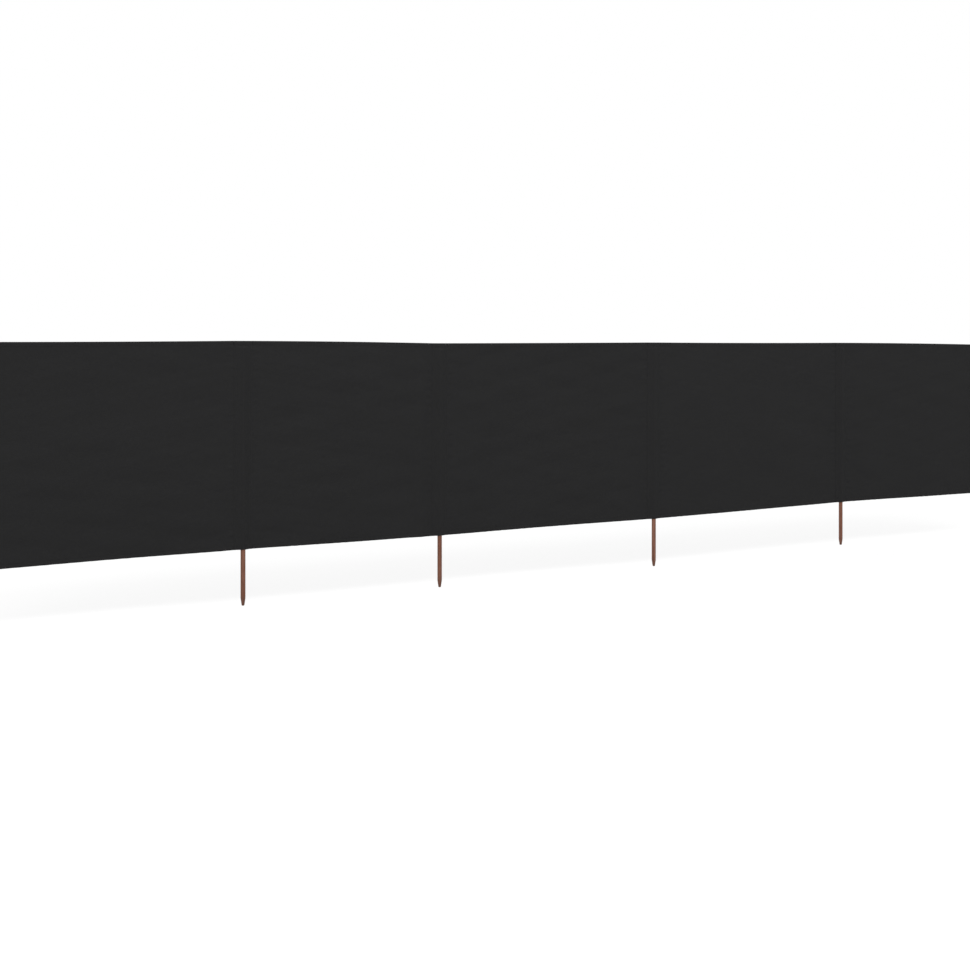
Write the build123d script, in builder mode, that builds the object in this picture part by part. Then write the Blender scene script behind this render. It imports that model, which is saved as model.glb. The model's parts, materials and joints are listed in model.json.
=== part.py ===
"""A beach windbreak: a long cloth screen carried on round wooden stakes that are pushed into the sand.

A stake stands in each sewn sleeve, and a bay of cloth is stitched between one sleeve and the next. A folded hem
binds the upper and the lower edge of every bay. The row is set out by hand, so its bays differ a little in
length and direction, and the cloth bows to one side or the other between the stakes.

Millimetres, +Z up. The origin is on the flat end of the first stake's point. +X runs along the row to the last
stake, and +Y points to the back.
"""

from build123d import *

import os
from math import acos, atan2, degrees, isclose

# How the row is set out: one figure for each bay, from the first stake on
bay_runs = (1185.0, 990.0, 1250.0, 1390.0, 1185.0)
bay_headings = (-1.3, 0.75, -1.85, 2.45, -0.25)
bay_bows = (18.0, -22.0, 15.0, 4.0, -10.0)
edge_sags = (1.2, -1.8, 0.4, 1.6, -1.8)

# How much higher than the first one each stake stands
stake_lifts = (0.0, 8.0, -0.5, 6.0, 8.0, -0.5)

# Stakes
stake_diameter = 22.0
point_length = 34.0
point_end_diameter = 12.0
point_end_bevel = 1.5
stake_top_bevel = 1.5
exposed_length = 254.0

# Cloth
cloth_height = 946.0
cloth_thickness = 1.0
hem_height = 18.0

# Sleeves
sleeve_clearance = 0.4
sleeve_half_width = 30.0
seam_allowance = 12.0
pinch_height = 14.0
pinch_layers = 7
end_fold_reach = 14.0

# A seam or a hem is the cloth with one more layer on each side of it, and its folds are bevelled
half_cloth = cloth_thickness / 2
half_seam = half_cloth + cloth_thickness
fold_bevel = half_seam / 2

stake_radius = stake_diameter / 2
tunnel_radius = stake_radius + sleeve_clearance
sleeve_radius = tunnel_radius + cloth_thickness
mouth_radius = sleeve_radius + cloth_thickness
pinch_radius = pinch_layers * half_cloth

cloth_bottom = exposed_length
cloth_top = cloth_bottom + cloth_height
pinch_bottom = cloth_top - hem_height
stake_length = pinch_bottom - pinch_height
overall_height = cloth_top + max(stake_lifts)

bay_count = len(bay_runs)
first_seam = sleeve_half_width + seam_allowance
face_depth = max(abs(bow) for bow in bay_bows) + 2 * half_seam


def along(heading):
    """The level direction that a bay runs in."""
    return Vector(1, 0, 0).rotate(Axis.Z, heading)


# Each stake's place is one bay further on than the last one's
stake_places = [Vector(0, 0, 0)]
for run, heading in zip(bay_runs, bay_headings):
    stake_places.append(stake_places[-1] + along(heading) * run)


def plan_of_bay(bay):
    """The ground plane of a bay: its X axis runs from one stake's axis to the next one's."""
    return Plane(stake_places[bay], x_dir=along(bay_headings[bay]), z_dir=(0, 0, 1))


def face_of_bay(bay):
    """The upright plane through both stakes of a bay, with its Y axis up."""
    plan = plan_of_bay(bay)
    return Plane(plan.origin, x_dir=plan.x_dir, z_dir=-plan.y_dir)


def bowed_line(bay, side):
    """One side of a bay's cloth in plan, which leaves the seams straight and is bowed out halfway along."""
    start = first_seam
    end = bay_runs[bay] - first_seam
    step = (end - start) / 4
    return Bezier(
        (start, side),
        (start + step, side),
        (start + 2 * step, side + bay_bows[bay] * 8 / 3),
        (end - step, side),
        (end, side),
    )


def hem_line(bay, level):
    """The upper or lower edge of a bay, which follows both stakes' lifts and sags a little between them."""
    start = first_seam
    end = bay_runs[bay] - first_seam
    left = level + stake_lifts[bay]
    right = level + stake_lifts[bay + 1]
    return Bezier(
        (start, left),
        ((start + end) / 2, (left + right) / 2 - 2 * edge_sags[bay]),
        (end, right),
    )


def build_layer(bay, half_thickness, low, high):
    """A bowed layer of a bay between two levels, from the seam at one end to the seam at the other."""
    with BuildPart() as layer:
        with BuildSketch(plan_of_bay(bay)):
            with BuildLine():
                front = bowed_line(bay, -half_thickness)
                back = bowed_line(bay, half_thickness)
                Line(front @ 0, back @ 0)
                Line(front @ 1, back @ 1)
            make_face()
        extrude(amount=overall_height)
        with BuildSketch(face_of_bay(bay)):
            with BuildLine():
                lower = hem_line(bay, low)
                upper = hem_line(bay, high)
                Line(lower @ 0, upper @ 0)
                Line(lower @ 1, upper @ 1)
            make_face()
        extrude(amount=face_depth, both=True, mode=Mode.INTERSECT)
    return layer.part


def build_bay_cloth(bay):
    """One cut of cloth, whose ends go on into the seams of the sleeves on both sides."""
    with BuildPart() as bay_cloth:
        add(build_layer(bay, half_cloth, cloth_bottom + cloth_thickness, cloth_top - cloth_thickness))
        ends = bay_cloth.faces().sort_by(Axis(stake_places[bay], along(bay_headings[bay])))
        extrude(ends[0], amount=seam_allowance)
        extrude(ends[-1], amount=seam_allowance)
    return bay_cloth


def build_hem(bay, low, outward, cloth):
    """A strip folded over an edge of a bay's cloth, with one layer on each side of it."""
    with BuildPart() as hem:
        add(build_layer(bay, half_seam, low, low + hem_height))
        fold = hem.faces().sort_by(Axis((0, 0, 0), outward))[-1]
        chamfer(fold.edges().filter_by(lambda edge: edge.length > hem_height), fold_bevel)
        add(cloth, mode=Mode.SUBTRACT)
    return hem


def build_stake(place, lift):
    """A turned stake with a blunt point below and a bevelled end above."""
    foot = place + Vector(0, 0, lift)
    with BuildPart() as stake:
        with BuildSketch(Plane(foot, x_dir=(1, 0, 0), z_dir=(0, -1, 0))):
            with BuildLine():
                Polyline(
                    (0, 0),
                    (point_end_diameter / 2, 0),
                    (stake_radius, point_length),
                    (stake_radius, stake_length),
                    (0, stake_length),
                    close=True,
                )
            make_face()
        revolve(axis=Axis(foot, (0, 0, 1)))
        rims = stake.edges().filter_by(GeomType.CIRCLE).sort_by(Axis.Z)
        chamfer(rims[0], point_end_bevel)
        chamfer(rims[-1], stake_top_bevel)
    return stake


def wing_corners(radius, half_tip, heading, centre):
    """Corners of the wing that runs in from both sides of a round to the stitch line, where it closes up."""
    middle = Vector(*centre).rotate(Axis.Z, -heading)
    gap = Vector(sleeve_half_width, half_tip) - middle
    turn = degrees(atan2(gap.Y, gap.X) + acos(radius / gap.length))
    touch = middle + Vector(radius, 0).rotate(Axis.Z, turn)
    corners = [
        touch,
        Vector(sleeve_half_width, half_tip),
        Vector(sleeve_half_width, -half_tip),
        Vector(touch.X, -touch.Y),
    ]
    return [corner.rotate(Axis.Z, heading) for corner in corners]


def sleeve_outline(radius, half_tip, headings, centre=(0, 0), seam=0.0):
    """Plan of a sleeve: a round for the stake, a wing on each side of it, and a flat seam beyond each wing."""
    with BuildSketch() as outline:
        with Locations(centre):
            Circle(radius)
        for heading in headings:
            with BuildLine():
                Polyline(*wing_corners(radius, half_tip, heading, centre), close=True)
            make_face()
            if seam:
                with Locations(Location(along(heading) * (sleeve_half_width + seam / 2), (0, 0, heading))):
                    Rectangle(seam, 2 * half_tip)
    return outline.sketch


def build_sleeve(place, lift, headings, cloths):
    """A sleeve with a hemmed mouth below. Above the stake it is pinched flat and sewn shut."""
    level = Plane(place + Vector(0, 0, lift))
    pinch_centre = (0, 0)
    if len(headings) == 1:
        pinch_centre = along(headings[0]) * -end_fold_reach
    mouth = sleeve_outline(mouth_radius, half_seam, headings, seam=seam_allowance)
    body = sleeve_outline(sleeve_radius, half_seam, headings, seam=seam_allowance)
    pinch = sleeve_outline(pinch_radius, half_seam, headings, centre=pinch_centre, seam=seam_allowance)
    tunnel = sleeve_outline(tunnel_radius, half_cloth, headings)
    with BuildPart() as sleeve:
        with BuildSketch(level.offset(cloth_bottom)):
            add(mouth)
        extrude(amount=hem_height)
        with BuildSketch(level.offset(cloth_bottom)):
            add(body)
        extrude(amount=stake_length - cloth_bottom)
        with BuildSketch(level.offset(stake_length)):
            add(body)
        with BuildSketch(level.offset(pinch_bottom)):
            add(pinch)
        loft()
        with BuildSketch(level.offset(pinch_bottom)):
            add(pinch)
        extrude(amount=hem_height)
        with BuildSketch(level.offset(cloth_bottom)):
            add(tunnel)
        extrude(amount=stake_length - cloth_bottom, mode=Mode.SUBTRACT)
        for end in (sleeve.faces().sort_by(Axis.Z)[-1], sleeve.faces().sort_by(Axis.Z)[0]):
            rim = end.outer_wire().edges()
            chamfer(rim.filter_by(lambda edge: not isclose(edge.length, 2 * half_seam)), fold_bevel)
        for cloth in cloths:
            add(cloth, mode=Mode.SUBTRACT)
    return sleeve


def save(piece, name):
    """Writes a finished piece under its name."""
    piece.part.label = name
    export_step(piece.part, f"parts/{name}.step")


os.makedirs("parts", exist_ok=True)

cloths = []
for bay in range(bay_count):
    bay_cloth = build_bay_cloth(bay)
    cloths.append(bay_cloth.part)
    save(bay_cloth, f"bay_cloth_{bay + 1}")
    save(build_hem(bay, cloth_top - hem_height, (0, 0, 1), bay_cloth.part), f"top_hem_{bay + 1}")
    save(build_hem(bay, cloth_bottom, (0, 0, -1), bay_cloth.part), f"bottom_hem_{bay + 1}")

for index, (place, lift) in enumerate(zip(stake_places, stake_lifts)):
    sides = []
    if index < bay_count:
        sides.append(bay_headings[index])
    if index > 0:
        sides.append(bay_headings[index - 1] + 180)
    beside = cloths[max(index - 1, 0) : index + 1]
    save(build_stake(place, lift), f"stake_{index + 1}")
    save(build_sleeve(place, lift, sides, beside), f"stake_sleeve_{index + 1}")
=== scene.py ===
import json

import bpy
import numpy as np
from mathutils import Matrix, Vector


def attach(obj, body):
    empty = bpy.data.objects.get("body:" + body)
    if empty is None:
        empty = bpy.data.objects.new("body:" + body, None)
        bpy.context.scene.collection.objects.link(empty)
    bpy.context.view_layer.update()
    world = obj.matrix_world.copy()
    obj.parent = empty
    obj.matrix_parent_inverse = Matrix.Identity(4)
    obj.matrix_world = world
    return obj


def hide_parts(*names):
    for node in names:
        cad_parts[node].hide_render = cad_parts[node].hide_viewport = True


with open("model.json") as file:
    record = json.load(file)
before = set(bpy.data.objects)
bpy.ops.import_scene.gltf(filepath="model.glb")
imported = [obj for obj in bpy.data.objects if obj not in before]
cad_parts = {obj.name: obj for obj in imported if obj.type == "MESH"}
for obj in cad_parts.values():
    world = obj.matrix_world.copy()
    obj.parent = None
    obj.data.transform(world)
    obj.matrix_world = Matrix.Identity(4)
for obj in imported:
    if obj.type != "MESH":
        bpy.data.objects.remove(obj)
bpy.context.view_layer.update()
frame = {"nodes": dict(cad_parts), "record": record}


# Stakes
# Six turned hardwood stakes, stained reddish brown, each with a blunt point. They stay as the packed
# solids. The stain takes unevenly along the grain, and each point is darker and rougher towards its foot.
stake_feet = np.array([mount["pos_m"] for mount in frame["record"]["mounts"]])
lifts = stake_feet[:, 2]
last_stake = len(stake_feet) - 1
stain_dark = (0.077, 0.024, 0.013, 1.0)
stain_main = (0.172, 0.062, 0.033, 1.0)
stain_light = (0.285, 0.130, 0.084, 1.0)
stain_roughness = 0.42
worn_from = 2.4
worn_to = 3.3
worn_lightness = 0.25
# Each point is darker and rougher towards its foot.
point_dark_tint = (0.085, 0.045, 0.032, 1.0)
point_darkening_top = 0.070
point_darkening_foot = 0.010
point_darkening_share = 0.50
point_roughness = 0.20

# A scale counts marks to the metre. A draw multiplies the place along the grain, so a small one gives long
# marks. A mark starts to show at the first figure of its range and is full at the second.
fibre_scale = 520.0
fibre_draw = 0.045
fibre_range = (0.60, 0.34)
fibre_darkness = 0.50
fibre_roughness = 0.16
fibre_relief = 0.50
streak_scale = 120.0
streak_draw = 0.03
streak_range = (0.30, 0.72)
streak_lightness = 0.85
pore_scale = 1500.0
pore_draw = 0.018
pore_range = (0.60, 0.72)
pore_darkness = 0.50
pore_relief = 0.60
bend_scale = 11.0
bend_draw = 0.22
ring_facing = (0.83, 0.56)
ring_spacing = 0.0044
ring_bend = 18.0
ring_sharpness = 2.6
ring_darkness = 0.50
ring_relief = 0.35
grain_height = 0.00025


class Wire:
    """A node's output. A sum or product written with it adds a Math node to its own material."""

    def __init__(self, finish, socket):
        self.finish = finish
        self.socket = socket

    def maths(self, operation, *values):
        """A Math node of this operation on the values."""
        return self.finish.node("ShaderNodeMath", {"operation": operation}, dict(enumerate(values)))

    def __add__(self, other):
        return self.maths("ADD", self, other)

    def __sub__(self, other):
        return self.maths("SUBTRACT", self, other)

    def __rsub__(self, other):
        return self.maths("SUBTRACT", other, self)

    def __mul__(self, other):
        return self.maths("MULTIPLY", self, other)

    def __pow__(self, other):
        return self.maths("POWER", self, other)

    __radd__ = __add__
    __rmul__ = __mul__

    def sine(self):
        """Its sine."""
        return self.maths("SINE", self)

    def size(self):
        """Its size without its sign."""
        return self.maths("ABSOLUTE", self)

    def most(self, other):
        """The larger of two values."""
        return self.maths("MAXIMUM", self, other)

    def between(self, low, high):
        """A smooth step from 0 at low to 1 at high. It falls where low is the larger."""
        settings = {"interpolation_type": "SMOOTHSTEP"}
        return self.finish.node("ShaderNodeMapRange", settings, {0: self, 1: low, 2: high, 3: 0.0, 4: 1.0})


class Finish:
    """A material, or the world's light, whose nodes are added one call at a time."""

    def __init__(self, owner):
        self.owner = owner
        owner.use_nodes = True
        self.tree = owner.node_tree
        self.tree.nodes.clear()

    def node(self, kind, settings=None, inputs=None, output=0):
        """Adds a node of this kind: first its settings, then the values or wires of its sockets."""
        made = self.tree.nodes.new(kind)
        for name, value in (settings or {}).items():
            setattr(made, name, value)
        for name, value in (inputs or {}).items():
            if isinstance(value, Wire):
                self.tree.links.new(value.socket, made.inputs[name])
            else:
                made.inputs[name].default_value = value
        return Wire(self, made.outputs[output]) if made.outputs else None

    def split(self, place):
        """The three parts of a place."""
        first = self.node("ShaderNodeSeparateXYZ", None, {0: place})
        return [Wire(self, socket) for socket in first.socket.node.outputs]

    def stretched(self, place, stretch):
        """A place multiplied by three figures, one for each axis."""
        return self.node("ShaderNodeVectorMath", {"operation": "MULTIPLY"}, {0: place, 1: stretch})

    def noise(self, place, scale, detail=2.0, roughness=0.5):
        """Smooth noise between 0 and 1 at a place, with this many features a metre."""
        inputs = {"Vector": place, "Scale": scale, "Detail": detail, "Roughness": roughness}
        return self.node("ShaderNodeTexNoise", {"normalize": True}, inputs)

    def blend(self, share, first, second):
        """A colour that goes from the first to the second as the share goes from 0 to 1, and on beyond."""
        settings = {"data_type": "RGBA", "clamp_factor": False}
        return self.node("ShaderNodeMix", settings, {0: share, 6: first, 7: second}, output=2)

    def bump(self, height, distance):
        """A normal bent by a height in units of the distance, which is in metres."""
        return self.node("ShaderNodeBump", None, {"Height": height, "Distance": distance})

    def ended(self, kind, shader):
        """Joins the shader to an output node of this kind. Gives back the finished material or world."""
        self.node(kind, None, {"Surface": shader})
        return self.owner


def stained_wood():
    """Wood stained reddish brown. Fibres, streaks and pores are noise drawn out along Z. Grain lines are
    sine planes, raised to a power so that they are narrow, and bent by slow noise. They all darken or
    lighten the stain, and fibres, lines and pores raise or sink the grain a little. The stakes further
    right are a little more worn, and each point darkens towards its foot."""
    wood = Finish(bpy.data.materials.new("stained_wood"))
    place = wood.node("ShaderNodeTexCoord", output="Object")
    x, y, z = wood.split(place)
    fibre_place = wood.stretched(place, (1.0, 1.0, fibre_draw))
    fibres = wood.noise(fibre_place, fibre_scale, detail=5.0, roughness=0.62)
    bend = wood.noise(wood.stretched(place, (1.0, 1.0, bend_draw)), bend_scale)
    streaks = wood.noise(wood.stretched(place, (1.0, 1.0, streak_draw)), streak_scale, detail=3.0)
    pores = wood.noise(wood.stretched(place, (1.0, 1.0, pore_draw)), pore_scale, detail=1.0)
    pores = pores.between(*pore_range)
    across_rings = x * ring_facing[0] + y * ring_facing[1]
    phase = across_rings * (2 * np.pi / ring_spacing) + bend * ring_bend
    rings = (phase.sine() * 0.5 + 0.5) ** ring_sharpness
    worn = x.between(worn_from, worn_to)
    point = z.between(point_darkening_top, point_darkening_foot)
    lighter = streaks.between(*streak_range) * streak_lightness + worn * worn_lightness
    colour = wood.blend(lighter, stain_main, stain_light)
    colour = wood.blend(fibres.between(*fibre_range) * fibre_darkness, colour, stain_dark)
    colour = wood.blend(rings * ring_darkness, colour, stain_dark)
    colour = wood.blend(pores * pore_darkness, colour, stain_dark)
    # Each point darkens towards its foot.
    colour = wood.blend(point * point_darkening_share, colour, point_dark_tint)
    relief = fibres * fibre_relief - rings * ring_relief - pores * pore_relief
    shader = wood.node("ShaderNodeBsdfPrincipled", None, {
        "Base Color": colour,
        "Roughness": stain_roughness + fibres * fibre_roughness + point * point_roughness,
        "Specular IOR Level": 0.30,
        "Normal": wood.bump(relief, grain_height),
    })
    return wood.ended("ShaderNodeOutputMaterial", shader)


stake_finish = stained_wood()
for index in range(last_stake + 1):
    stake = frame["nodes"][f"stake_{index + 1}"]
    stake.data.materials.clear()
    stake.data.materials.append(stake_finish)


# Bays of cloth
# Five cuts of plain-woven charcoal polyester, half a millimetre thick, stretched from stake to stake. Each
# is stitched into the sleeves at its ends, bows out a little, and keeps faint creases from being packed.
spans = np.diff(stake_feet[:, :2], axis=0)
runs = np.hypot(spans[:, 0], spans[:, 1])
headings = np.arctan2(spans[:, 1], spans[:, 0])
bay_bows = (0.018, -0.022, 0.015, 0.004, -0.010)
bay_swells = (0.0, -0.008, 0.0, 0.0, 0.003)
edge_sags = (0.0012, -0.0018, 0.0004, 0.0016, -0.0018)
cloth_bottom = 0.254
cloth_top = 1.200
cloth_inset = 0.001
cloth_thickness = 0.0005
stitch_line = 0.030
first_seam = 0.042
bow_at_edge = 0.916
bow_fullness = 0.14
swell_place = 0.105
swell_reach = 0.055
swell_lean = 0.5
held_reach = 0.035
ripple_depth = 0.0015
ripple_waves = (0.62, 0.135)
fine_ripple_share = 0.3
fine_ripple_waves = (0.21, 0.052)
crease_depth = 0.0013
crease_places = ((0.25, -0.7), (0.5, 1.0), (0.75, 0.7))
crease_half = 0.013
crease_patchiness = 0.45
crease_patch_wave = 0.42
pucker_depth = 0.0013
hem_pucker_reach = 0.034
hem_pucker_wave = 0.046
seam_pucker_reach = 0.011
seam_pucker_wave = 0.034
edge_shift = 3.7
seam_shift = 5.3
sine_count = 5
sine_mix = (0.55, 1.35)
sine_sum_size = 2.3
seed_gap = 10
cloth_rows = 140
cloth_step = 0.010
seam_steps = np.array((0.0, 0.006, 0.012, 0.0145, 0.0175, 0.0215, 0.027, 0.034, 0.043, 0.052))
thread_pitch = 0.00055
yarn_scale = 1500.0
yarn_draw = 0.03
yarn_tone = 0.42
yarn_relief = 0.30
slub_scale = 700.0
slub_draw = 0.04
slub_range = (0.62, 0.80)
slub_tone = 0.35
slub_relief = 0.50
fading_scale = 3.2
fading_tone = 0.14
fading_roughness = 0.12
# Painted shade in the weave's hollows and painted highlight on its crowns.
hollow_shade_tone = 0.10
crown_highlight_tone = 0.90
crown_smoothness = 0.10
cloth_roughness = 0.78
weave_height = 0.00024
charcoal = (0.0205, 0.0205, 0.0209, 1.0)
nap_tint = (0.55, 0.56, 0.60, 1.0)


def wander(seed, *measures):
    """An irregular wave of size about 1. It is the sum of a few sines, each of its own seeded mix of the
    measures and its own phase, so one unit of a measure is about one wave."""
    chance = np.random.default_rng(seed)
    total = 0.0
    for _ in range(sine_count):
        mix = chance.uniform(*sine_mix, len(measures)) * chance.choice((-1, 1), len(measures))
        angle = sum(share * measure for share, measure in zip(mix, measures))
        total = total + np.sin(2 * np.pi * angle + chance.uniform(0, 2 * np.pi))
    return total / sine_sum_size


def edge_level(bay, x, level):
    """Height of a level line of a bay. It runs straight from one stake's lift to the next one's, less a
    parabola of sag."""
    u = np.clip((x - first_seam) / (runs[bay] - 2 * first_seam), 0, 1)
    rise = lifts[bay] + (lifts[bay + 1] - lifts[bay]) * u
    return level + rise - 4 * edge_sags[bay] * u * (1 - u)


def bay_depth(bay, x, z):
    """How far back the cloth stands from the line between its stakes. It is the sum of a bow of
    16 b u^2 (1 - u)^2, a little fuller halfway up, a bell-shaped swell near the right-hand stake, level
    ripples, creases and hem puckers that fade as exp(-distance), and seam puckers that rise and fade as
    r exp(1 - r). All of them die out at the seams."""
    u = np.clip((x - first_seam) / (runs[bay] - 2 * first_seam), 0, 1)
    up = np.clip((z - edge_level(bay, x, cloth_bottom)) / (cloth_top - cloth_bottom), 0, 1)
    bow = 16 * bay_bows[bay] * u**2 * (1 - u) ** 2 * (bow_at_edge + bow_fullness * np.sin(np.pi * up))
    from_swell = (runs[bay] - x - swell_place) / swell_reach
    swell = bay_swells[bay] * np.exp(-(from_swell**2)) * (1 + swell_lean * (up - 0.5))
    seed = seed_gap * bay
    ripples = wander(seed + 1, x / ripple_waves[0], z / ripple_waves[1])
    fine_ripples = wander(seed + 2, x / fine_ripple_waves[0], z / fine_ripple_waves[1])
    creases = 0.0
    for index, (line, turn) in enumerate(crease_places):
        patch = wander(seed + 5 + 2 * index, x / crease_patch_wave)
        depth = turn * (1 - crease_patchiness + crease_patchiness * patch)
        creases = creases + depth * np.exp(-np.abs(up - line) / crease_half)
    from_hem = np.minimum(up, 1 - up) * (cloth_top - cloth_bottom)
    hem_waves = wander(seed + 8, x / hem_pucker_wave, np.round(up) * edge_shift)
    hem_pull = np.exp(-from_hem / hem_pucker_reach) * hem_waves
    loose = ripple_depth * (ripples + fine_ripple_share * fine_ripples)
    loose = loose + crease_depth * creases + pucker_depth * hem_pull
    from_seam = np.clip(np.minimum(x, runs[bay] - x) - first_seam, 0, None)
    free = 1 - np.exp(-((from_seam / held_reach) ** 2))
    rise = from_seam / seam_pucker_reach
    seam_pull = rise * np.exp(1 - rise) * wander(seed + 9, z / seam_pucker_wave, np.round(u) * seam_shift)
    return bow + free * (swell + loose) + pucker_depth * seam_pull


def in_bay(bay, x, depth, z):
    """Points of a bay given along its run, back from it and up."""
    along = np.array((np.cos(headings[bay]), np.sin(headings[bay])))
    back = np.array((-along[1], along[0]))
    plan = stake_feet[bay, :2] + x[..., None] * along + depth[..., None] * back
    return np.concatenate((plan, z[..., None]), axis=-1)


def normals_of(grid):
    """Unit normals of a grid of points: the cross product of its steps from column to column and from row
    to row."""
    normal = np.cross(np.gradient(grid, axis=1), np.gradient(grid, axis=0))
    return normal / np.linalg.norm(normal, axis=-1, keepdims=True)


def reach_of(grid, axis):
    """Distance travelled along one axis of a grid of points."""
    steps = np.linalg.norm(np.diff(grid, axis=axis), axis=-1)
    start = np.zeros_like(np.take(steps, [0], axis=axis))
    return np.concatenate((start, np.cumsum(steps, axis=axis)), axis=axis)


def facing_out(shape):
    """A closed shape with its faces outwards. They are turned round where its volume, a sixth of the sum
    of a . (b x c) over the corners of its faces, is below zero."""
    points, faces, spread = shape
    first, second, third, final = (points[faces[:, k]] for k in (0, 1, 2, -1))
    volume = np.einsum("ij,ij->", first, np.cross(second, third) + np.cross(third, final)) / 6
    return points, faces if volume > 0 else faces[:, ::-1], spread


def add_piece(name, shape, material, stands_for=None):
    """Makes a mesh of a shape's points, faces and UV map. The piece rides on the row's one body."""
    points, faces, spread = facing_out(shape)
    mesh = bpy.data.meshes.new(name)
    mesh.vertices.add(len(points))
    mesh.vertices.foreach_set("co", points.astype(np.float32).ravel())
    mesh.loops.add(faces.size)
    mesh.loops.foreach_set("vertex_index", faces.astype(np.int32).ravel())
    mesh.polygons.add(len(faces))
    mesh.polygons.foreach_set("loop_start", np.arange(0, faces.size, faces.shape[1], dtype=np.int32))
    mesh.update(calc_edges=True)
    mesh.uv_layers.new(name="cloth").uv.foreach_set("vector", spread[faces].astype(np.float32).ravel())
    mesh.shade_smooth()
    mesh.materials.append(material)
    piece = bpy.data.objects.new(name, mesh)
    bpy.context.scene.collection.objects.link(piece)
    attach(piece, "root")
    if stands_for:
        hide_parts(stands_for)
    return piece


def thick_sheet(middle, thickness):
    """A sheet of even thickness round a grid of points. Each side is the middle moved half the thickness
    along its normals, and a rim of quads joins the two. The UV map holds the distances along and up in
    metres."""
    normal = normals_of(middle)
    rows, columns = middle.shape[:2]
    index = np.arange(rows * columns).reshape(rows, columns)
    front = np.stack((index[:-1, :-1], index[:-1, 1:], index[1:, 1:], index[1:, :-1]), axis=-1)
    front = front.reshape(-1, 4)
    back = front[:, ::-1] + index.size
    rim = np.concatenate((index[0, :-1], index[:-1, -1], index[-1, :0:-1], index[:0:-1, 0]))
    onward = np.roll(rim, -1)
    edge = np.stack((onward, rim, rim + index.size, onward + index.size), axis=-1)
    sides = (middle + normal * thickness / 2, middle - normal * thickness / 2)
    points = np.concatenate([side.reshape(-1, 3) for side in sides])
    spread = np.stack((reach_of(middle, 1), reach_of(middle, 0)), axis=-1).reshape(-1, 2)
    return points, np.concatenate((front, back, edge)), np.concatenate((spread, spread))


def woven_polyester(name, colour):
    """Plain-woven polyester on the cloth's own UV map, in metres. With u and v counted in threads and
    s = sin(pi u) sin(pi v), the height is half the larger of |sin(pi u)| (1 + s) and |sin(pi v)| (1 - s),
    so that warp and weft take turns on top. Yarns differ in tone along their length, some are thicker in
    places, and the whole fades a little in patches."""
    cloth = Finish(bpy.data.materials.new(name))
    spread = cloth.node("ShaderNodeUVMap", {"uv_map": "cloth"})
    place = cloth.node("ShaderNodeTexCoord", output="Object")
    u, v, _ = cloth.split(spread)
    warp = (u * (np.pi / thread_pitch)).sine()
    weft = (v * (np.pi / thread_pitch)).sine()
    over = warp * weft
    height = (warp.size() * (1 + over)).most(weft.size() * (1 - over)) * 0.5
    warp_yarns = cloth.noise(cloth.stretched(spread, (1.0, yarn_draw, 1.0)), yarn_scale, detail=1.0)
    weft_yarns = cloth.noise(cloth.stretched(spread, (yarn_draw, 1.0, 1.0)), yarn_scale, detail=1.0)
    slubs = cloth.noise(cloth.stretched(spread, (slub_draw, 1.0, 1.0)), slub_scale, detail=1.0)
    slubs = slubs.between(*slub_range)
    fading = cloth.noise(place, fading_scale, detail=3.0, roughness=0.55)
    # The weave's height lightens the yarns' crowns and darkens the hollows between them: a painted highlight
    # on the crowns and painted shade in the hollows.
    tone = hollow_shade_tone + height * crown_highlight_tone + warp_yarns * yarn_tone + weft_yarns * yarn_tone
    tone = tone + fading * fading_tone + slubs * slub_tone
    relief = height + slubs * slub_relief + warp_yarns * yarn_relief
    shader = cloth.node("ShaderNodeBsdfPrincipled", None, {
        "Base Color": cloth.blend(tone, (0.0, 0.0, 0.0, 1.0), colour),
        "Roughness": cloth_roughness + fading * fading_roughness - height * crown_smoothness,
        "Specular IOR Level": 0.03,
        "Sheen Weight": 0.01,
        "Sheen Roughness": 0.5,
        "Sheen Tint": nap_tint,
        "Normal": cloth.bump(relief, weave_height),
    })
    return cloth.ended("ShaderNodeOutputMaterial", shader)


bay_weave = woven_polyester("charcoal_weave", charcoal)
for bay, run in enumerate(runs):
    near = stitch_line + seam_steps
    free_steps = int((run - 2 * near[-1]) / cloth_step)
    free = np.linspace(near[-1], run - near[-1], free_steps + 1)[1:-1]
    x = np.concatenate((near, free, (run - near)[::-1]))[None, :]
    share = np.linspace(0, 1, cloth_rows + 1)[:, None]
    z = edge_level(bay, x, cloth_bottom + cloth_inset) + share * (cloth_top - cloth_bottom - 2 * cloth_inset)
    x = np.broadcast_to(x, z.shape)
    middle = in_bay(bay, x, bay_depth(bay, x, z), z)
    shape = thick_sheet(middle, cloth_thickness)
    name = f"woven_bay_{bay + 1}"
    add_piece(name, shape, bay_weave, f"bay_cloth_{bay + 1}")


# Hems
# A strip of the same cloth is folded over the upper and the lower edge of each bay, 18 mm deep, and
# topstitched. Its fold is round and full, the stitches draw it in, and its free edges wave a little.
hem_height = 0.018
hem_stitch_height = 0.0152
hem_step = 0.0070
hem_fullness = 0.10
hem_fullness_wave = 0.028
hem_seeds = 100
free_edge_start = hem_stitch_height + 0.001
free_edge_depth = 0.0004
free_edge_wave = 0.045
fold_half = 0.00070
fold_angles = np.radians(np.linspace(0, 180, 9))[1:-1]
strip_out = np.array((0.54, 0.60, 0.58, 0.52, 0.60, 0.78, 0.84, 0.76)) / 1000
strip_in = np.array((18.0, 17.4, 16.1, 15.2, 14.3, 9.5, 4.5, 1.1)) / 1000
stitched_point = 3
stitch_pitch = 0.0045
stitch_length = 0.0037
stitch_half = 0.00025
ply_pitch = 0.0008
ply_slant = 0.0006
ply_height = 0.00005
ply_smoothness = 0.12
thread_roughness = 0.56
# The hems and sleeves take a slightly darker copy of the cloth's charcoal: painted shade.
hem_shaded_charcoal = (0.0203, 0.0203, 0.0207, 1.0)
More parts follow.
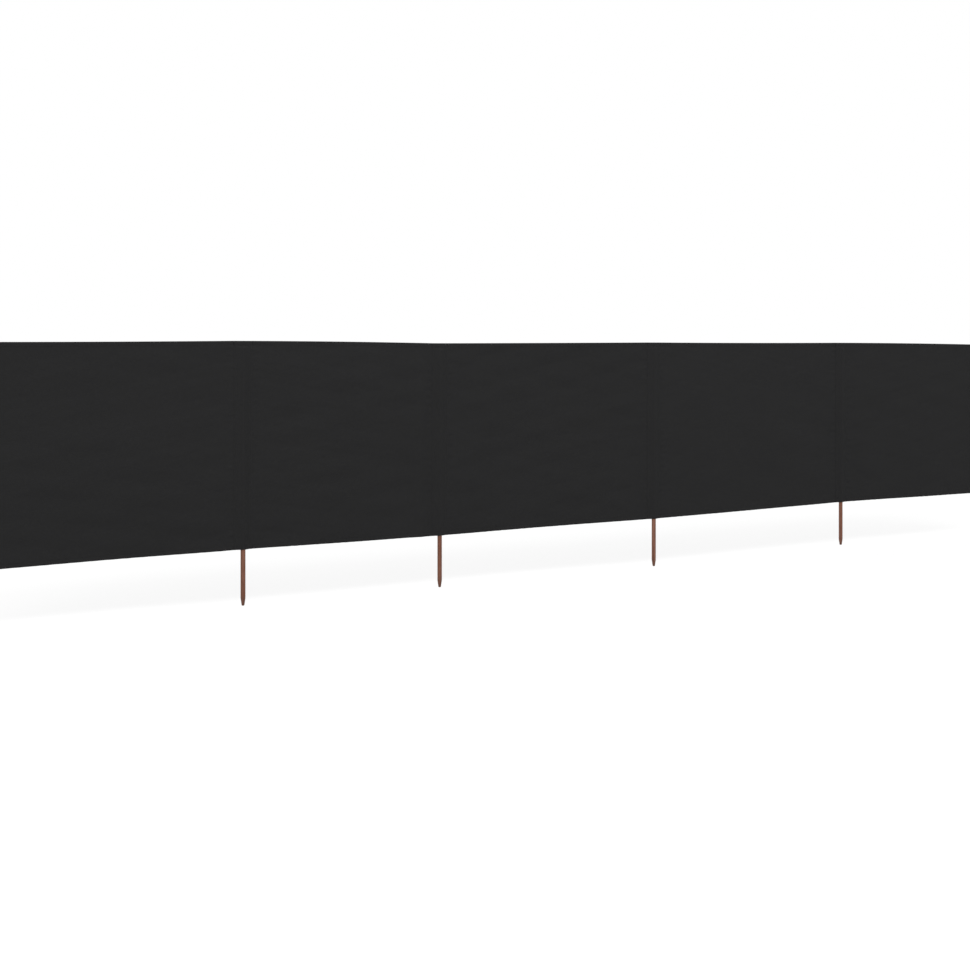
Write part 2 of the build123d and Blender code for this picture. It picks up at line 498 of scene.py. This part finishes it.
# Painted shade in the plies' hollows and painted highlight on their crowns.
thread_hollow_shade = (0.0100, 0.0100, 0.0104, 1.0)
thread_crown_highlight = (0.0250, 0.0250, 0.0258, 1.0)


def folded_section():
    """The middle line of a folded strip's section, from its front free edge round the fold to its back
    one. It gives how far each point is to the front of the cloth, how far in from the fold, and a figure
    that is 1 on the front, -1 on the back and cos(angle) round the fold, which spreads the strip where it
    is multiplied by a width."""
    lean = np.concatenate((np.ones(len(strip_out)), np.cos(fold_angles), -np.ones(len(strip_out))))
    forward = np.concatenate((strip_out, fold_half * np.cos(fold_angles), -strip_out[::-1]))
    fold_in = cloth_thickness / 2 + fold_half * (1 - np.sin(fold_angles))
    return forward, np.concatenate((strip_in, fold_in, strip_in[::-1])), lean


def stitches(lines):
    """Stitches along lines on a surface, each line given with its outward normals. A stitch is a grain of
    two four-sided rings between two points, which dip into the cloth. Its corners are worked out along,
    across and out from its middle, and the UV map is along and across the thread."""
    middles, alongs, outs = [], [], []
    for line, outward in lines:
        reach = reach_of(line, 0)
        count = max(int(reach[-1] / stitch_pitch), 1)
        at = (np.arange(count) + 0.5) * reach[-1] / count
        ahead, behind, middle = (
            np.stack([np.interp(at + shift, reach, value) for value in line.T], axis=-1)
            for shift in (stitch_length / 2, -stitch_length / 2, 0.0)
        )
        middles.append(middle)
        alongs.append(ahead - behind)
        outs.append(np.stack([np.interp(at, reach, value) for value in outward.T], axis=-1))
    middle, along, out = (np.concatenate(group)[:, None] for group in (middles, alongs, outs))
    along = along / np.linalg.norm(along, axis=-1, keepdims=True)
    across = np.cross(out, along)
    across = across / np.linalg.norm(across, axis=-1, keepdims=True)
    out = np.cross(along, across)
    length = np.array((-0.5, -0.27, -0.27, -0.27, -0.27, 0.27, 0.27, 0.27, 0.27, 0.5)) * stitch_length
    width = np.array((0, 1, 0, -1, 0, 1, 0, -1, 0, 0)) * stitch_half
    height = np.array((-0.7, 0.1, 1.0, 0.1, -0.8, 0.1, 1.0, 0.1, -0.8, -0.7)) * stitch_half
    points = middle + along * length[:, None] + across * width[:, None] + out * height[:, None]
    ring = np.array((1, 2, 3, 4))
    onward = np.roll(ring, -1)
    start = np.stack((np.zeros(4, int), onward, ring), axis=-1)
    end = np.stack((np.full(4, 9), ring + 4, onward + 4), axis=-1)
    lower_half = np.stack((ring, onward, onward + 4), axis=-1)
    upper_half = np.stack((ring, onward + 4, ring + 4), axis=-1)
    grain = np.concatenate((start, end, lower_half, upper_half))
    faces = (np.arange(len(points))[:, None, None] * len(length) + grain).reshape(-1, 3)
    spread = np.broadcast_to(np.stack((length, width), axis=-1), points.shape[:2] + (2,)).reshape(-1, 2)
    return points.reshape(-1, 3), faces, spread


def bonded_thread():
    """Polyester thread of twisted plies: slanting sine ridges along each stitch, painted lighter on their
    crowns as a painted highlight and darker between them as painted shade, and a little glossier than the
    cloth."""
    ply = Finish(bpy.data.materials.new("sewing_thread"))
    u, v, _ = ply.split(ply.node("ShaderNodeUVMap", {"uv_map": "cloth"}))
    ridges = (u * (2 * np.pi / ply_pitch) + v * (2 * np.pi / ply_slant)).sine() * 0.5 + 0.5
    shader = ply.node("ShaderNodeBsdfPrincipled", None, {
        "Base Color": ply.blend(ridges, thread_hollow_shade, thread_crown_highlight),
        "Roughness": thread_roughness - ridges * ply_smoothness,
        "Specular IOR Level": 0.30,
        "Normal": ply.bump(ridges, ply_height),
    })
    return ply.ended("ShaderNodeOutputMaterial", shader)


hem_weave = woven_polyester("hem_weave", hem_shaded_charcoal)
sewing_thread = bonded_thread()
forward, inward, lean = folded_section()
for bay, run in enumerate(runs):
    count = int((run - 2 * first_seam) / hem_step)
    x = np.linspace(first_seam, run - first_seam, count)[:, None]
    back = np.array((-np.sin(headings[bay]), np.cos(headings[bay]), 0.0))
    hems, hem_lines = [], []
    for edge, level, turn in (("top", cloth_top, -1), ("bottom", cloth_bottom, 1)):
        seed = hem_seeds + seed_gap * bay + turn
        fullness = 1 + hem_fullness * wander(seed, x / hem_fullness_wave) ** 2
        wave = free_edge_depth * wander(seed + 5, x / free_edge_wave) * (inward > free_edge_start)
        z = edge_level(bay, x, level) + turn * (inward + wave)
        across = np.broadcast_to(x, z.shape)
        strip = in_bay(bay, across, bay_depth(bay, across, z) - forward * fullness, z)
        for column, way in ((stitched_point, -back), (-1 - stitched_point, back)):
            skin = strip[:, column] + way * cloth_thickness / 2
            hem_lines.append((skin, np.broadcast_to(way, skin.shape)))
        name = f"folded_{edge}_hem_{bay + 1}"
        shape = thick_sheet(strip, cloth_thickness)
        hems.append(add_piece(name, shape, hem_weave, f"{edge}_hem_{bay + 1}"))
    hems.append(add_piece(f"hem_stitching_{bay + 1}", stitches(hem_lines), sewing_thread))


# Sleeves
# A sleeve round each stake, of the same cloth. One strip before the stake and one behind it close on the
# bays 30 mm out, and two rows of stitches hold each seam. The mouth has a turned hem, and above the stake
# the strips are gathered flat under a folded band. An end sleeve is one strip that goes round the stake.
stake_top = 1.168
body_end = 1.164
gather_start = 1.166
gather_end = 1.182
sleeve_radius = 0.01170
sleeve_tip = 0.00066
layer_gap = 0.00062
gather_radius = 0.0030
end_fold_reach = 0.014
pleat_depth = 0.00055
pleat_spacing = 0.0125
wrinkle_depth = 0.00060
wrinkle_wave = 0.085
wrinkles_across = 1.6
seam_wrinkle_share = 0.7
seam_wrinkle_fade = 3.0
seam_wrinkle_wave = 0.026
seam_wrinkles_across = 2.0
sleeve_seeds = 300
sleeve_step = 0.0062
mouth_fold = 0.0016
band_seam_rise = 0.00085
band_crown_rise = 0.0034
band_end_reach = 0.0040
band_end_half = 0.00035
band_end_turn = np.radians(np.linspace(0, 87, 8))[1:]
band_steps = 28
end_band_steps = 18
tent_height = 1.1
tent_round = 0.003
seam_line = np.array((0.0420, 0.0411, 0.0400, 0.0389, 0.0355, 0.0321, 0.0310, 0.0300))
seam_fullness = np.array((0.0, 0.00004, -0.00014, 0.00006, 0.00024, 0.00004, -0.00014, 0.0))
wing_steps = np.linspace(0, 1, 7)[1:]
side_arc_steps = np.linspace(0, 1, 8)[1:-1]
end_arc_steps = np.linspace(0, 1, 27)[1:-1]
outer_row = 2
inner_row = 6
rows_under_band = 3


def eased(share):
    """A smooth step 3 s^2 - 2 s^3 of a share held between 0 and 1."""
    share = np.clip(share, 0, 1)
    return share * share * (3 - 2 * share)


def pleats(e):
    """Depth of the gathers across a closed sleeve: a raised cosine that dies out at the stitch lines."""
    inside = np.clip(1 - (e / stitch_line) ** 2, 0, 1)
    return pleat_depth * inside * (1 - np.cos(2 * np.pi * e / pleat_spacing)) / 2


def side_ways(stake, sense):
    """A sleeve's side in plan: the bay's heading there, the way out along the bay, and the way to the
    front."""
    heading = headings[stake] if sense > 0 else headings[stake - 1]
    along = np.array((np.cos(heading), np.sin(heading)))
    return heading, sense * along, np.array((along[1], -along[0]))


def sleeve_side(stake, sense, face, radius, tip, centre):
    """One side of a sleeve's plan at every level, from the seam's outer edge in to where the straight line
    from the stitches meets the round as a tangent, and the angle of that place on the round."""
    heading, outwards, front = side_ways(stake, sense)
    reach = stitch_line - centre
    turn = np.arctan2(tip, reach) + np.arccos(radius / np.hypot(reach, tip))
    touch_e = centre + radius * np.cos(turn)
    touch_f = radius * np.sin(turn)
    seam_e = np.broadcast_to(seam_line, (len(radius), len(seam_line)))
    seam_f = tip[:, None] + seam_fullness
    wing_e = stitch_line + (touch_e - stitch_line)[:, None] * wing_steps
    wing_f = tip[:, None] + (touch_f - tip)[:, None] * wing_steps
    e = np.concatenate((seam_e, wing_e), axis=1)[..., None]
    f = np.concatenate((seam_f, wing_f), axis=1)[..., None]
    line = stake_feet[stake, :2] + e * outwards + f * face * front
    return line, (heading if sense > 0 else heading + np.pi) - sense * face * turn


def sleeve_wall(stake, face, z, offset, gather):
    """The middle of a sleeve's wall as a grid. Its rows follow the strip from the mouth hem's free edge
    down round the fold and up to the top, and its columns go from seam to seam. The round shrinks as it is
    gathered, and at an end sleeve it moves out. The wings carry soft wrinkles, and the gathers are added
    above the stake. Also returns the level way out of the sleeve at each point, which is square to the
    plan."""
    radius = (sleeve_radius + offset) * (1 - gather) + gather_radius * gather
    tip = sleeve_tip + offset
    if stake in (0, last_stake):
        sense = 1 if stake == 0 else -1
        centre = -end_fold_reach * gather
        first, first_angle = sleeve_side(stake, sense, 1, radius, tip, centre)
        last, last_angle = sleeve_side(stake, sense, -1, radius, tip, centre)
        last_angle = last_angle - sense * 2 * np.pi
        middle = stake_feet[stake, :2] + centre[:, None] * side_ways(stake, sense)[1]
        arc_steps = end_arc_steps
        out_turn = -sense
    else:
        centre = np.zeros_like(z)
        first, first_angle = sleeve_side(stake, -1, face, radius, tip, centre)
        last, last_angle = sleeve_side(stake, 1, face, radius, tip, centre)
        last_angle = last_angle + (2 * np.pi if face > 0 else 0.0)
        middle = stake_feet[stake, :2] + centre[:, None]
        arc_steps = side_arc_steps
        out_turn = face
    angle = first_angle[:, None] + (last_angle - first_angle)[:, None] * arc_steps
    around = middle[:, None] + radius[:, None, None] * np.stack((np.cos(angle), np.sin(angle)), axis=-1)
    plan = np.concatenate((first, around, last[:, ::-1]), axis=1)
    height = np.broadcast_to((z + lifts[stake])[:, None, None], plan.shape[:2] + (1,))
    wall = np.concatenate((plan, height), axis=-1)
    onward = np.gradient(plan, axis=1)
    outward = np.stack((onward[..., 1], -onward[..., 0], np.zeros(plan.shape[:2])), axis=-1) * out_turn
    outward = outward / np.linalg.norm(outward, axis=-1, keepdims=True)
    flat = np.zeros(len(seam_line))
    still = np.zeros(len(arc_steps))
    belly = np.concatenate((flat, np.sin(np.pi * wing_steps)))
    beside = np.concatenate((flat, np.exp(-seam_wrinkle_fade * wing_steps)))
    belly, beside = (np.concatenate((side, still, side[::-1])) for side in (belly, beside))
    across = np.linspace(0, 1, plan.shape[1])
    seed = sleeve_seeds + seed_gap * stake + face
    wrinkles = belly * wander(seed, z[:, None] / wrinkle_wave, across * wrinkles_across)
    tight = beside * wander(seed + 4, z[:, None] / seam_wrinkle_wave, across * seam_wrinkles_across)
    wrinkles = wrinkle_depth * (wrinkles + seam_wrinkle_share * tight)
    from_stake = np.linalg.norm(plan - stake_feet[stake, :2], axis=-1)
    gathers = pleats(from_stake) * (from_stake < stitch_line)
    soft = wrinkles * (1 - gather)[:, None] + gathers * gather[:, None]
    return wall + outward * soft[..., None], outward


def top_band(stake):
    """The middle of the strip folded over a gathered sleeve, as a grid, and the way to the front at each
    place across it. It spreads by a tent over the strips and by their gathers. Beyond an end sleeve's fold
    its two sides come together in a quarter round."""
    if stake in (0, last_stake):
        sense = 1 if stake == 0 else -1
        e = np.linspace(first_seam, -end_fold_reach, end_band_steps + 1)
        rounding = np.concatenate((np.ones(len(e)), np.cos(band_end_turn)))
        e = np.concatenate((e, -end_fold_reach - band_end_reach * np.sin(band_end_turn)))
        tent = np.clip((stitch_line - e) / (stitch_line + end_fold_reach), 0, 1)
        _, outwards, front = side_ways(stake, sense)
        plan = stake_feet[stake, :2] + e[:, None] * outwards
        front = np.broadcast_to(front, plan.shape)
    else:
        e = np.linspace(-first_seam, first_seam, band_steps + 1)
        rounding = np.ones(len(e))
        tent = np.clip(tent_height - np.hypot(e, tent_round) / stitch_line, 0, 1)
        _, left, left_front = side_ways(stake, -1)
        _, right, right_front = side_ways(stake, 1)
        onward = (e > 0)[:, None]
        plan = stake_feet[stake, :2] + np.abs(e)[:, None] * np.where(onward, right, left)
        front = np.where(onward, right_front, left_front)
    spread = band_seam_rise + (band_crown_rise - band_seam_rise) * tent + pleats(e) - band_end_half
    out = lean * band_end_half + (forward + lean * spread[:, None]) * rounding[:, None]
    flat = plan[:, None] + out[..., None] * front[:, None]
    z = np.broadcast_to((cloth_top + lifts[stake] - inward)[:, None], flat.shape[:2] + (1,))
    return np.concatenate((flat, z), axis=-1), np.concatenate((front, np.zeros((len(e), 1))), axis=1)


def joined(shapes):
    """Several closed shapes as one."""
    shapes = [facing_out(shape) for shape in shapes]
    starts = np.cumsum([0] + [len(points) for points, _, _ in shapes[:-1]])
    points = np.concatenate([points for points, _, _ in shapes])
    faces = np.concatenate([faces + start for (_, faces, _), start in zip(shapes, starts)])
    return points, faces, np.concatenate([spread for _, _, spread in shapes])


mouth_turn = np.radians(np.linspace(0, 180, 6))
mouth_outer_z = np.array((hem_height, 0.0174, 0.0161, hem_stitch_height, 0.0143, 0.0095, 0.0045, mouth_fold))
mouth_outer = np.array((0.90, 1.04, 0.98, 0.84, 0.98, 1.08, 1.06, 1.0)) * layer_gap
mouth_fold_z = layer_gap / 2 * (1 - np.sin(mouth_turn)) + cloth_thickness / 2
mouth_inner_z = np.array((mouth_fold, 0.0060, 0.0120, 0.0170, 0.0185))
body_z = np.arange(hem_height + sleeve_step, body_end - cloth_bottom, sleeve_step)
gather_z = np.array((gather_start, 1.1695, 1.173, 1.1765, 1.180, 1.1835, 1.190, 1.1975)) - cloth_bottom
wall_z = cloth_bottom + np.concatenate((mouth_outer_z, mouth_fold_z, mouth_inner_z, body_z, gather_z))
fold_rows = slice(len(mouth_outer), len(mouth_outer) + len(mouth_turn))
wall_offset = np.zeros(len(wall_z))
wall_offset[: len(mouth_outer)] = mouth_outer
wall_offset[fold_rows] = layer_gap / 2 * (1 + np.cos(mouth_turn))
wall_gather = eased((wall_z - gather_start) / (gather_end - stake_top))
mouth_rows = slice(1, len(mouth_outer))
mouth_columns = slice(outer_row, -outer_row)
body_rows = slice(-len(gather_z) - len(body_z) - 1, -rows_under_band)

for stake in range(last_stake + 1):
    shapes, sewn_lines = [], []
    faces = (1,) if stake in (0, last_stake) else (1, -1)
    for face in faces:
        wall, outward = sleeve_wall(stake, face, wall_z, wall_offset, wall_gather)
        shapes.append(thick_sheet(wall, cloth_thickness))
        skin = wall + outward * cloth_thickness / 2
        for column in (outer_row, inner_row, -1 - inner_row, -1 - outer_row):
            for rows in (mouth_rows, body_rows):
                sewn_lines.append((skin[rows, column], outward[rows, column]))
        sewn_lines.append((skin[stitched_point, mouth_columns], outward[stitched_point, mouth_columns]))
    band, front = top_band(stake)
    shapes.append(thick_sheet(band, cloth_thickness))
    for column, way in ((stitched_point, front), (-1 - stitched_point, -front)):
        sewn_lines.append((band[:, column] + way * cloth_thickness / 2, way))
    name = f"sewn_sleeve_{stake + 1}"
    sleeve = add_piece(name, joined(shapes), hem_weave, f"stake_sleeve_{stake + 1}")
    name = f"sleeve_stitching_{stake + 1}"
    stitching = add_piece(name, stitches(sewn_lines), sewing_thread)


# Studio
# A pale floor at the lowest stake's foot, a white surround that lights the row evenly from all sides, and
# a softbox twice as long as the row, high in front. The camera stands in front of the first stake.
floor_level = float(lifts.min())
floor_reach = 60.0
white = (1.0, 1.0, 1.0, 1.0)
floor_bounce = (0.80, 0.80, 0.80, 1.0)
floor_glow = (0.75, 0.75, 0.75, 1.0)
floor_shade = (0.30, 0.30, 0.30, 1.0)
surround_level = 0.84
softbox_power = 145.0
softbox_size = (12.0, 1.6)
softbox_place = (1.2, -3.2, 4.6)
softbox_way = (0.0, 3.2, -3.7)
picture_side = 970.0
focal_pixels = 1200.0
horizon_row = 349.0
camera_place = (-0.331, -5.367, 1.171)
camera_turn = np.radians(27.247)


def pale_floor():
    """A pale floor. Seen directly, a glow and a diffuse shade add up to white, and the shadow takes away
    from the shade alone. To light that bounces off it, it is a light grey."""
    ground = Finish(bpy.data.materials.new("pale_floor"))
    seen = ground.node("ShaderNodeLightPath", output="Is Camera Ray")
    glow = ground.node("ShaderNodeEmission", None, {"Color": floor_glow, "Strength": 1.0})
    shade = ground.node("ShaderNodeBsdfDiffuse", None, {"Color": floor_shade})
    bounced = ground.node("ShaderNodeBsdfDiffuse", None, {"Color": floor_bounce})
    shown = ground.node("ShaderNodeAddShader", None, {0: glow, 1: shade})
    both = ground.node("ShaderNodeMixShader", None, {0: seen, 1: bounced, 2: shown})
    return ground.ended("ShaderNodeOutputMaterial", both)


def white_surround():
    """A surround that is plain white to the camera and in reflections, and lights the row a little
    less."""
    around = Finish(bpy.data.worlds.new("white_surround"))
    seen = around.node("ShaderNodeLightPath", output="Is Camera Ray")
    glossy = Wire(around, seen.socket.node.outputs["Is Glossy Ray"])
    through = Wire(around, seen.socket.node.outputs["Is Transmission Ray"])
    plain = around.node("ShaderNodeBackground", None, {"Color": white, "Strength": 1.0})
    light = around.node("ShaderNodeBackground", None, {"Color": white, "Strength": surround_level})
    both = around.node("ShaderNodeMixShader", None, {0: seen + glossy + through, 1: light, 2: plain})
    return around.ended("ShaderNodeOutputWorld", both)


floor_mesh = bpy.data.meshes.new("floor")
corners = [(x * floor_reach, y * floor_reach, floor_level) for x, y in ((-1, -1), (1, -1), (1, 1), (-1, 1))]
floor_mesh.from_pydata(corners, [], [(0, 1, 2, 3)])
floor_mesh.materials.append(pale_floor())
floor = bpy.data.objects.new("floor", floor_mesh)
bpy.context.scene.collection.objects.link(floor)
bpy.context.scene.world = white_surround()

softbox_light = bpy.data.lights.new("softbox", "AREA")
softbox_light.energy = softbox_power
softbox_light.shape = "RECTANGLE"
softbox_light.size, softbox_light.size_y = softbox_size
softbox = bpy.data.objects.new("softbox", softbox_light)
softbox.location = softbox_place
softbox.rotation_euler = Vector(softbox_way).to_track_quat("-Z", "Y").to_euler()
softbox.visible_camera = False
bpy.context.scene.collection.objects.link(softbox)

lens = bpy.data.cameras.new("camera")
lens.sensor_width = 36.0
lens.lens = lens.sensor_width * focal_pixels / picture_side
lens.shift_y = (horizon_row - picture_side / 2) / picture_side
camera = bpy.data.objects.new("camera", lens)
camera.location = camera_place
camera.rotation_euler = (np.pi / 2, 0.0, -camera_turn)
bpy.context.scene.collection.objects.link(camera)
bpy.context.scene.camera = camera
bpy.context.scene.view_settings.view_transform = "Standard"
